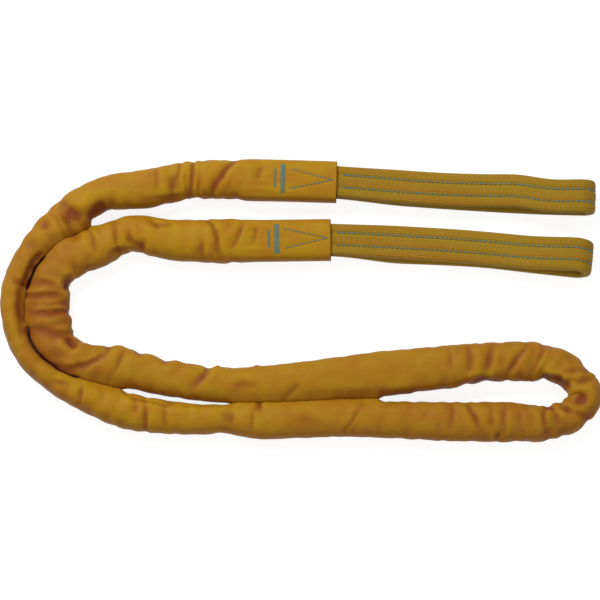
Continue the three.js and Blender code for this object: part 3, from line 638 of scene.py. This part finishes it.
class Finish:
    """A material made of nodes round one shader."""

    def __init__(self, name, **constants):
        self.material = bpy.data.materials.new(name)
        self.material.use_nodes = True
        self.tree = self.material.node_tree
        self.shader = self.tree.nodes["Principled BSDF"]
        for socket, value in constants.items():
            self.shader.inputs[socket.replace("_", " ")].default_value = value

    def node(self, kind, settings=None, values=None, output=0):
        made = self.tree.nodes.new(kind)
        for setting, value in (settings or {}).items():
            setattr(made, setting, value)
        self.feed(made, values or {})
        return Value(self, made.outputs[output])

    def feed(self, made, values):
        for socket, value in values.items():
            if isinstance(value, Value):
                self.tree.links.new(value.socket, made.inputs[socket])
            else:
                made.inputs[socket].default_value = value

    def attribute(self, name):
        return self.node("ShaderNodeAttribute", {"attribute_name": name}, output=2)

    def threads(self):
        """The cloth coordinates, and their two parts: round the piece, and along it."""
        place = self.node("ShaderNodeUVMap", {"uv_map": "cloth"})
        around = self.node("ShaderNodeSeparateXYZ", {}, {0: place})
        return place, around, Value(self, around.socket.node.outputs[1])

    def noise(self, place, scale, detail=2, roughness=0.5):
        stretched = self.node(
            "ShaderNodeVectorMath", {"operation": "MULTIPLY"}, {0: place, 1: scale}
        )
        return self.node(
            "ShaderNodeTexNoise",
            {},
            {"Vector": stretched, "Scale": 1, "Detail": detail, "Roughness": roughness},
        )

    def blended(self, share, first, second):
        return self.node(
            "ShaderNodeMix", {"data_type": "RGBA"}, {0: share, 6: first, 7: second}, output=2
        )

    def bumped(self, height, distance):
        return self.node("ShaderNodeBump", {}, {"Height": height, "Distance": distance})

    def cover_with(self, piece):
        piece.data.materials.clear()
        piece.data.materials.append(self.material)


def paint(red, green, blue):
    """A colour as it is seen, from 0 to 255, for a shader."""
    share = np.array([red, green, blue]) / 255
    linear = np.where(share > 0.04045, ((share + 0.055) / 1.055) ** 2.4, share / 12.92)
    return (*linear, 1)


COVER_YARN = 0.0009
satin = Finish("ochre_satin_cover", Specular_IOR_Level=0.15, Sheen_Weight=0.03)
cloth, around_cloth, along_cloth = satin.threads()
# Painted shade: the fold shading is darker in creases, hollows and slits.
painted_fold_shading = satin.attribute("crease") * 0.9 + satin.attribute("hollow") * 0.9 - 0.12
warp = (around_cloth * (math.pi / COVER_YARN)).sine()
weft = (along_cloth * (math.pi / COVER_YARN)).sine()
over = (warp * weft).above(0)
weave = abs(warp) * over + abs(weft) * (1 - over)
crinkle = satin.noise(cloth, (130, 60, 1), 3, 0.55)
mottle = satin.noise(cloth, (60, 35, 1), 3)
streak = satin.noise(cloth, (900, 40, 1))
tone = satin.blended(((mottle - 0.3) * 2.5).clamped(), paint(170, 110, 7), paint(176, 137, 7))
# Painted shade: redder and darker by place along the route, most in the bends.
tone = satin.blended(satin.attribute("red") * 0.75, tone, paint(144, 80, 20))
# Painted shade: darker and redder on sides facing away from the light.
tone = satin.blended(satin.attribute("turned_away") * 0.45, tone, paint(134, 62, 12))
tone = satin.blended(painted_fold_shading.clamped() * 0.92, tone, paint(122, 50, 14))
# Painted highlight: lighter gold on the rims beside the folds, and slightly on smooth parts.
tone = satin.blended((painted_fold_shading * -0.4).clamped(), tone, paint(190, 142, 14))
tone = satin.blended(streak * 0.25, tone, paint(134, 82, 8))
satin.feed(satin.shader, {
    "Base Color": tone,
    "Roughness": 0.45 + 0.2 * mottle,
    "Normal": satin.bumped(weave * 0.06 + crinkle * 0.6, 0.001),
})
satin.cover_with(body_cover)
RUNS = ("outer_run", "end_loop", "inner_run")
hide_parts(*("body_cover_" + run for run in RUNS))
LOOP_HINGE = next(
    joint["pos_m"] for joint in frame["joints"] if joint["name"] == "end_loop_lift"
)
LOOP_BEND = 0.08


def bend_at_loop(piece):
    LOOP_HINGE[0] + LOOP_BEND
    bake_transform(piece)


bend_at_loop(body_cover)

# Yarn hank: raw polyester filament yarn, wound endlessly. Two legs of it fill the cover, side by
# side where there is room, one over the other in the narrow bend and flat in the cuffs.
YARN_REST = 0.00185
EYE_TAIL_LENGTH, YARN_STACK_LENGTH, YARN_PRESS_SHARE = 0.054, 0.1, 0.5
YARN_EYE_WIDTH, YARN_EYE_THICKNESS = 0.021, 0.0039
LOW_TAIL_HEIGHT, HIGH_TAIL_HEIGHT = 0.0079, 0.0161
STRAND_COUNT, STRAND_DEPTH, STRAND_TWIST = 9, 0.07, 0.24
LEG_STEP, LEG_SIDES, YARN_AROUND = 0.003, 16, 54


def strands(width, height, along):
    """Sections of a yarn bundle whose strands stand out and turn slowly round it."""
    angle = np.arange(YARN_AROUND) / YARN_AROUND * 2 * math.pi
    turned = angle + (along / STRAND_TWIST * 2 * math.pi)[:, None]
    swell = 1 - STRAND_DEPTH * (1 - np.abs(np.cos(turned * STRAND_COUNT / 2)))
    half_width, half_height = (np.reshape(size, (-1, 1)) / 2 for size in (width, height))
    return np.stack(
        [half_width * swell * np.cos(angle), half_height * swell * np.sin(angle)], axis=2
    )


def closed_tube(name, rings, along):
    """A solid tube through rings, each end drawn to its middle."""
    count, around = rings.shape[:2]
    ends = [rings[i].mean(axis=0)[None] for i in (0, -1)]
    points = np.concatenate([rings.reshape(-1, 3), *ends])
    faces = tube_faces(count, around)
    for j in range(around):
        after = (j + 1) % around
        faces.append((after, j, count * around))
        last = (count - 1) * around
        faces.append((last + j, last + after, count * around + 1))
    piece = mesh_piece(name, points, faces)
    girth = np.linalg.norm(np.roll(rings, -1, axis=1) - rings, axis=2).sum(axis=1).mean()
    turns = np.tile(np.arange(around) / around * girth, count)
    lay_threads(
        piece, np.append(turns, [0, 0]),
        np.concatenate([np.repeat(along, around), [along[0], along[-1]]]), girth,
    )
    return piece


yarn_finish = Finish("raw_yarn", Sheen_Weight=0.2)
cloth, around_cloth, along_cloth = yarn_finish.threads()
fibre = yarn_finish.noise(cloth, (5000, 60, 1), 3)
shade = yarn_finish.noise(cloth, (300, 20, 1))
yarn_tone = yarn_finish.blended(shade, paint(214, 204, 178), paint(238, 232, 214))
yarn_tone = yarn_finish.blended(fibre * 0.5, yarn_tone, paint(188, 174, 142))
yarn_finish.feed(yarn_finish.shader, {
    "Base Color": yarn_tone,
    "Roughness": 0.5 + 0.2 * fibre,
    "Normal": yarn_finish.bumped(fibre, 0.0003),
})
legs = Cover(LEG_STEP, LEG_SIDES)
stacking = smoothstep(legs.from_cuff, EYE_TAIL_LENGTH, EYE_TAIL_LENGTH + YARN_STACK_LENGTH)
apart = np.minimum(legs.room_beside_yarn(), smoothstep(stacking, YARN_PRESS_SHARE, 1))
flat = 1 - smoothstep(stacking, 0, YARN_PRESS_SHARE)
leg_width = YARN_DIAMETER + (YARN_EYE_WIDTH - YARN_DIAMETER) * flat
leg_height = YARN_DIAMETER + (YARN_EYE_THICKNESS - YARN_DIAMETER) * flat
spacing = YARN_SPACING + (HIGH_TAIL_HEIGHT - LOW_TAIL_HEIGHT - YARN_SPACING) * flat
low_height = legs.lift + YARN_REST + leg_height / 2
low_height += (LOW_TAIL_HEIGHT - low_height) * flat
for leg, sign in (("low", -1), ("high", 1)):
    leg_middle = np.stack([
        sign * spacing / 2 * apart,
        low_height + (spacing * np.sqrt(1 - apart**2) if sign > 0 else 0),
    ], axis=1)
    leg_section = strands(leg_width, leg_height, legs.s) + leg_middle[:, None]
    yarn_leg = closed_tube("yarn_leg_" + leg, legs.placed(leg_section), legs.s)
    yarn_finish.cover_with(yarn_leg)
    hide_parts(*("yarn_leg_" + leg + "_" + run for run in RUNS))
    bend_at_loop(yarn_leg)

# Eye sleeves: flat webbing tubes that guard the hank's loops where the hook bears. Both ends of
# each run into a cuff, one over the other. Two seams close it, along shallow valleys.
EYE_ROUTES = {
    "upper": [
        (0.0311, 0.1008), (0.09, 0.0961), (0.151, 0.0919), (0.202, 0.0892), (0.2495, 0.0879)
    ],
    "lower": [
        (0.026, 0.0513), (0.08, 0.0498), (0.151, 0.0465), (0.202, 0.0409), (0.2465, 0.0361)
    ],
}
EYE_WIDTH, EYE_THROAT_THICKNESS, EYE_TIP_THICKNESS, EYE_WALL = 0.026, 0.0076, 0.009, 0.0014
EYE_TIP_HEIGHT, EYE_LEG_GAP = 0.026, 0.0006
EYE_REST_SHARE, EYE_PART_SHARE = 0.3, 0.58
EYE_SPREAD, EYE_SQUARENESS, SLEEVE_GIRTH = 0.002, 5, 0.066
THROAT_BEND, TAIL_FROM_THROAT, SWAY_BLUR = 0.05, 0.0005, 6
EYE_LEG_SHIFT = {"upper": 0.0002, "lower": 0.003}
EYE_SWAY = {
    "upper": [
        (0, 0), (0.42, 0.0002), (0.58, 0.0013), (0.74, 0.0028), (0.79, 0.0016), (0.84, -0.001),
        (0.9, -0.0018), (1, -0.0008),
    ],
    "lower": [(0, 0), (0.42, -0.0017), (0.58, -0.0024), (0.74, -0.0027), (0.84, -0.0025), (1, 0)],
}
SEAM_SPACING, SEAM_VALLEY, SEAM_VALLEY_WIDTH = 0.0106, 0.0008, 0.0017
SLEEVE_STEPS, SLEEVE_TIP_STEPS, TAIL_STEPS, SLEEVE_AROUND = 96, 22, 20, 96


def eye_path(name, with_tails):
    """Stations along an eye: out on the upper leg, round the tip and back on the lower leg."""
    line = smooth_line(EYE_ROUTES[name])
    along = distances(line)
    low, high = EYE_TIP_THICKNESS / 2, EYE_TIP_HEIGHT - EYE_TIP_THICKNESS / 2
    radius = (high - low) / 2
    reach = along[-1] - radius - EYE_TIP_THICKNESS / 2
    share = np.linspace(0, 1, SLEEVE_STEPS)
    settled = smoothstep(share, 0, EYE_REST_SHARE)
    touching = EYE_TIP_THICKNESS + low + EYE_LEG_GAP
    upper = HIGH_TAIL_HEIGHT + (touching - HIGH_TAIL_HEIGHT) * settled
    upper += (high - upper) * smoothstep(share, EYE_PART_SHARE, 1)
    turn = np.linspace(0, math.pi, SLEEVE_TIP_STEPS + 2)[1:-1]
    lower = LOW_TAIL_HEIGHT + (low - LOW_TAIL_HEIGHT) * settled
    sway = np.interp(share, *np.array(EYE_SWAY[name]).T)
    window = 2 * SWAY_BLUR + 1
    sway = np.convolve(np.pad(sway, SWAY_BLUR, "edge"), np.ones(window) / window, "valid")
    leg_shift = -EYE_LEG_SHIFT[name]
    tip_shift = sway[-1] + (leg_shift - sway[-1]) * turn / math.pi
    out = np.concatenate([share * reach, reach + radius * np.sin(turn), share[::-1] * reach])
    height = np.concatenate([upper, low + radius * (1 + np.cos(turn)), lower[::-1]])
    thick = np.concatenate([settled, np.ones(len(turn)), settled[::-1]])
    shift = np.concatenate([sway, tip_shift, leg_shift * settled[::-1]])
    floor_side = at_distance(out, along, sides_of(line))
    floor = at_distance(out, along, line) + floor_side * shift[:, None]
    if with_tails:
        back = np.linspace(EYE_TAIL_LENGTH, TAIL_FROM_THROAT, TAIL_STEPS)
        from_throat = back if name == "upper" else cover.length - back
        tail = at_distance(from_throat, cover.s, cover.middle)
        tail_side = at_distance(from_throat, cover.s, cover.side) * (-1 if name == "upper" else 1)
        floor = np.concatenate([tail, floor, tail[::-1]])
        floor_side = np.concatenate([tail_side, floor_side, tail_side[::-1]])
        heights = [np.full(TAIL_STEPS, value) for value in (HIGH_TAIL_HEIGHT, LOW_TAIL_HEIGHT)]
        height = np.concatenate([heights[0], height, heights[1]])
        thick = np.pad(thick, TAIL_STEPS)
    middle = np.concatenate([floor, height[:, None]], axis=1)
    side = unit(np.concatenate([floor_side, np.zeros((len(floor), 1))], axis=1))
    upward = unit(np.cross(np.gradient(middle, axis=0), side))
    thickness = EYE_THROAT_THICKNESS + (EYE_TIP_THICKNESS - EYE_THROAT_THICKNESS) * thick
    return middle, side, upward, thickness


def swept(path, sections):
    """Points of sections that stand across a path."""
    middle, side, upward, _ = path
    return (
        middle[:, None] + side[:, None] * sections[..., :1] + upward[:, None] * sections[..., 1:]
    )


def sleeve_section(thickness):
    """A flat tube's outline, with a valley at each seam on its outer face."""
    spread = (thickness - EYE_THROAT_THICKNESS) / (EYE_TIP_THICKNESS - EYE_THROAT_THICKNESS)
    width = EYE_WIDTH + EYE_SPREAD * spread
    outline = flat_oval(width, thickness, EYE_SQUARENESS, 0, SLEEVE_AROUND)
    outline[:, 1] -= thickness / 2
    across, rise = outline.T
    seams = sum(
        np.exp(-(((across - sign * SEAM_SPACING / 2) / SEAM_VALLEY_WIDTH) ** 2))
        for sign in (-1, 1)
    )
    outline[:, 1] -= SEAM_VALLEY * seams * (rise > 0)
    return outline


WEBBING_RIB, WEBBING_PICK = 0.0019, 0.0012
webbing = Finish("ochre_webbing", Specular_IOR_Level=0.18, Sheen_Weight=0.03)
cloth, around_cloth, along_cloth = webbing.threads()
cord_rib = abs((around_cloth * (math.pi / WEBBING_RIB)).sine())
pick = (along_cloth * (2 * math.pi / WEBBING_PICK)).sine()
warp_streak = webbing.noise(cloth, (420, 9, 1), 3, 0.6)
wide_streak = webbing.noise(cloth, (150, 6, 1))
wear = webbing.noise(cloth, (80, 60, 1), 3, 0.6)
web_tone = webbing.blended(warp_streak, paint(144, 102, 6), paint(164, 138, 24))
web_tone = webbing.blended(((wide_streak - 0.45) * 2.6).clamped(), web_tone, paint(170, 110, 24))
# Painted shade: darker in the grooves between the ribs.
web_tone = webbing.blended((1 - cord_rib) * 0.2, web_tone, paint(112, 76, 8))
web_tone = webbing.blended(((wear - 0.55) * 1.2).clamped(), web_tone, paint(176, 146, 54))
webbing.feed(webbing.shader, {
    "Base Color": web_tone,
    "Roughness": 0.55 + 0.2 * warp_streak,
    "Normal": webbing.bumped(cord_rib * 0.3 + pick * 0.1 + wear * 0.2, 0.0008),
})


def bend_at_throat(piece, name):
    start = np.array(next(
        joint["pos_m"] for joint in frame["joints"] if joint["name"] == name + "_eye_lift"
    ))
    name + "_eye"
    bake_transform(piece)


for name in EYE_ROUTES:
    path = eye_path(name, True)
    along = distances(path[0])
    rings = swept(path, np.array([sleeve_section(value) for value in path[3]]))
    sleeve = mesh_piece(name + "_eye_sleeve_webbing", rings, tube_faces(*rings.shape[:2]))
    turns = np.tile(np.arange(SLEEVE_AROUND) / SLEEVE_AROUND * SLEEVE_GIRTH, len(rings))
    lay_threads(sleeve, turns, np.repeat(along, SLEEVE_AROUND), SLEEVE_GIRTH)
    wall = sleeve.modifiers.new("wall", "SOLIDIFY")
    wall.thickness = EYE_WALL
    wall.offset = -1
    apply_modifier(sleeve, wall)
    webbing.cover_with(sleeve)
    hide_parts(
        *(name + "_eye_sleeve" + part for part in ("", "_low_tail", "_high_tail"))
    )
    bend_at_throat(sleeve, name)

    path = eye_path(name, False)
    along = distances(path[0])
    bundle = strands(np.full(len(along), YARN_EYE_WIDTH), YARN_EYE_THICKNESS, along)
    yarn_loop = closed_tube(name + "_eye_yarn", swept(path, bundle), along)
    yarn_finish.cover_with(yarn_loop)
    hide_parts(name + "_eye_yarn_loop")
    bend_at_throat(yarn_loop, name)

# Eye seams: two rows of blue-green polyester thread along each sleeve, lockstitched through its
# overlap. Each stitch lies in the valley that it pulls.
STITCH_PITCH, STITCH_LENGTH, STITCH_THICKNESS = 0.0041, 0.0031, 0.0014
SEAM_START, STITCH_PROUD_SHARE, THREAD_FLATNESS = 0.005, 0.3, 0.85
bpy.ops.mesh.primitive_uv_sphere_add(segments=8, ring_count=6, radius=0.5)
stitch = bpy.context.object
stitch_points = np.array([vertex.co[:] for vertex in stitch.data.vertices])[:, [2, 0, 1]]
stitch_points[:, 0] += np.where(stitch_points[:, 0] > 0.01, 0.5, -0.5)
stitch_faces = [list(face.vertices) for face in stitch.data.polygons]
bpy.data.objects.remove(stitch)
thread = Finish("blue_green_thread", Sheen_Weight=0.1)
place = thread.node("ShaderNodeTexCoord", output=3)
ply = thread.noise(place, (2600, 2600, 2600))
fade = thread.noise(place, (90, 90, 90))
thread_tone = thread.blended(ply, paint(40, 106, 112), paint(92, 144, 138))
thread_tone = thread.blended(((fade - 0.36) * 2.4).clamped(), thread_tone, paint(116, 112, 52))
thread.feed(thread.shader, {
    "Base Color": thread_tone, "Roughness": 0.5 + 0.2 * ply, "Normal": thread.bumped(ply, 0.0003)
})


def sewn_piece(name, starts, ends, upward, width):
    """A row of stitches, each a copy of one, from its start to its end."""
    length = np.linalg.norm(ends - starts, axis=1)
    ahead = unit(ends - starts)
    side = unit(np.cross(upward, ahead))
    above = np.cross(ahead, side)
    end = np.sign(stitch_points[:, 0])
    beyond = (np.abs(stitch_points[:, 0]) - 0.5).clip(0) * end * width
    straight = end * (length[:, None] - width) / 2
    points = (
        (starts + ends)[:, None] / 2
        + ahead[:, None] * (beyond + straight)[..., None]
        + side[:, None] * stitch_points[:, 1:2] * width
        + above[:, None] * stitch_points[:, 2:3] * width * THREAD_FLATNESS
    )
    faces = [
        [corner + i * len(stitch_points) for corner in face]
        for i in range(len(starts)) for face in stitch_faces
    ]
    piece = mesh_piece(name, points, faces)
    thread.cover_with(piece)
    return piece


for name in EYE_ROUTES:
    middle, side, upward, thickness = eye_path(name, False)
    along = distances(middle)
    starts = np.arange(SEAM_START, along[-1] - SEAM_START, STITCH_PITCH)
    depth = thickness / 2 - SEAM_VALLEY + STITCH_THICKNESS * STITCH_PROUD_SHARE
    for side_name, sign in (("left", 1), ("right", -1)):
        seam_line = middle + side * sign * SEAM_SPACING / 2 + upward * depth[:, None]
        row = sewn_piece(
            name + "_eye_seam_" + side_name + "_stitches",
            at_distance(starts, along, seam_line),
            at_distance(starts + STITCH_LENGTH, along, seam_line),
            at_distance(starts, along, upward),
            STITCH_THICKNESS,
        )
        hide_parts(name + "_eye_seam_" + side_name)
        bend_at_throat(row, name)

# Throat seams: bar tacks of dense zigzag stitches and a stitched triangle, of the same thread,
# through the cuff, both sleeve ends and the yarn, so they show on both faces.
TACK_PITCH, TACK_THREAD, TACK_PROUD_SHARE = 0.00085, 0.001, 0.45
TRIANGLE_PITCH, TRIANGLE_STITCH, TRIANGLE_FIRST = 0.0034, 0.0026, 0.0004


def on_cuff(name, places, face):
    """Places from the cuff's end and across it, on its upper or lower face."""
    from_end, across = np.array(places).T
    from_throat = from_end if name == "upper" else cover.length - from_end
    side = at_distance(from_throat, cover.s, cover.side)
    floor = at_distance(from_throat, cover.s, cover.middle) + side * across[:, None]
    half_height = CUFF_HEIGHT / (2 * (1 - CUFF_FLAT_SHARE))
    bulge = half_height * (1 - np.abs(across / (CUFF_WIDTH / 2)) ** CUFF_SQUARENESS) ** (
        1 / CUFF_SQUARENESS
    )
    middle_height = CUFF_LIFT + CUFF_HEIGHT - half_height
    pulled = SEAM_PULL - TACK_THREAD * TACK_PROUD_SHARE
    if face == "top":
        height = middle_height + bulge - pulled
    else:
        height = np.maximum(middle_height - bulge, CUFF_LIFT) + pulled
    return np.concatenate([floor, height[:, None]], axis=1)


def zigzag(place, width, length):
    across = np.arange(-length / 2, length / 2, TACK_PITCH)
    slant = np.where(np.arange(len(across)) % 2, 1, -1) * TACK_PITCH / 2
    return (
        np.stack([np.full(len(across), place - width / 2), across + slant], axis=1),
        np.stack([np.full(len(across), place + width / 2), across - slant], axis=1),
    )


def seam_along(corners):
    lengths = distances(corners)
    starts = np.arange(TRIANGLE_FIRST, lengths[-1] - TRIANGLE_STITCH, TRIANGLE_PITCH)
    return (
        at_distance(starts, lengths, corners),
        at_distance(starts + TRIANGLE_STITCH, lengths, corners),
    )


throat_seams = {
    "wide_bar_tack": zigzag(WIDE_TACK_PLACE, WIDE_TACK_WIDTH, WIDE_TACK_LENGTH),
    "narrow_bar_tack": zigzag(NARROW_TACK_PLACE, NARROW_TACK_WIDTH, NARROW_TACK_LENGTH),
    "triangle_seam": seam_along(triangle),
}
for name in EYE_ROUTES:
    for seam, (starts, ends) in throat_seams.items():
        for face, upward in (("top", UP), ("bottom", -UP)):
            first, last = (on_cuff(name, places, face) for places in (starts, ends))
            sewn = sewn_piece(
                name + "_throat_" + seam + "_" + face + "_stitches", first, last,
                np.broadcast_to(upward, first.shape), TACK_THREAD,
            )
            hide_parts(name + "_throat_" + seam + "_" + face)
            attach(sewn, "main")

# Floor and light: a plain white table under soft light that comes mostly from behind the sling.
floor = Finish("white_table")
bpy.ops.mesh.primitive_plane_add(size=8, location=(0, 0, -0.0002))
table = bpy.context.object
table.name = "table"
seen = floor.node("ShaderNodeLightPath")
paths = seen.socket.node.outputs
direct = Value(floor, paths["Is Camera Ray"]) + Value(floor, paths["Is Glossy Ray"])
direct = (direct + Value(floor, paths["Is Transmission Ray"])).clamped()
matt = floor.node("ShaderNodeBsdfDiffuse", {}, {"Color": (0.75, 0.75, 0.75, 1)})
pale = floor.node("ShaderNodeBsdfDiffuse", {}, {"Color": (0.3, 0.3, 0.3, 1)})
glow = floor.node("ShaderNodeEmission", {}, {"Color": (1, 1, 1, 1), "Strength": 0.85})
white = floor.node("ShaderNodeAddShader", {}, {0: pale, 1: glow})
shown = floor.node("ShaderNodeMixShader", {}, {0: direct, 1: matt, 2: white})
output = floor.tree.nodes["Material Output"]
floor.tree.nodes.remove(floor.shader)
floor.feed(output, {"Surface": shown})
floor.cover_with(table)

world = bpy.data.worlds.new("studio")
world.use_nodes = True
world.node_tree.nodes["Background"].inputs["Color"].default_value = (1, 1, 1, 1)
world.node_tree.nodes["Background"].inputs["Strength"].default_value = 0.4
bpy.context.scene.world = world
for name, place, size, power in (
    ("key_light", (-0.9, 1.35, 1.8), 0.9, 42), ("fill_light", (0.5, -1.2, 2.2), 1.5, 10)
):
    bpy.ops.object.light_add(type="AREA", location=place)
    light = bpy.context.object
    light.name = name
    light.data.size = size
    light.data.energy = power
    light.rotation_euler = (-Vector(place)).to_track_quat("-Z", "Y").to_euler()
bpy.context.scene.view_settings.view_transform = "Standard"
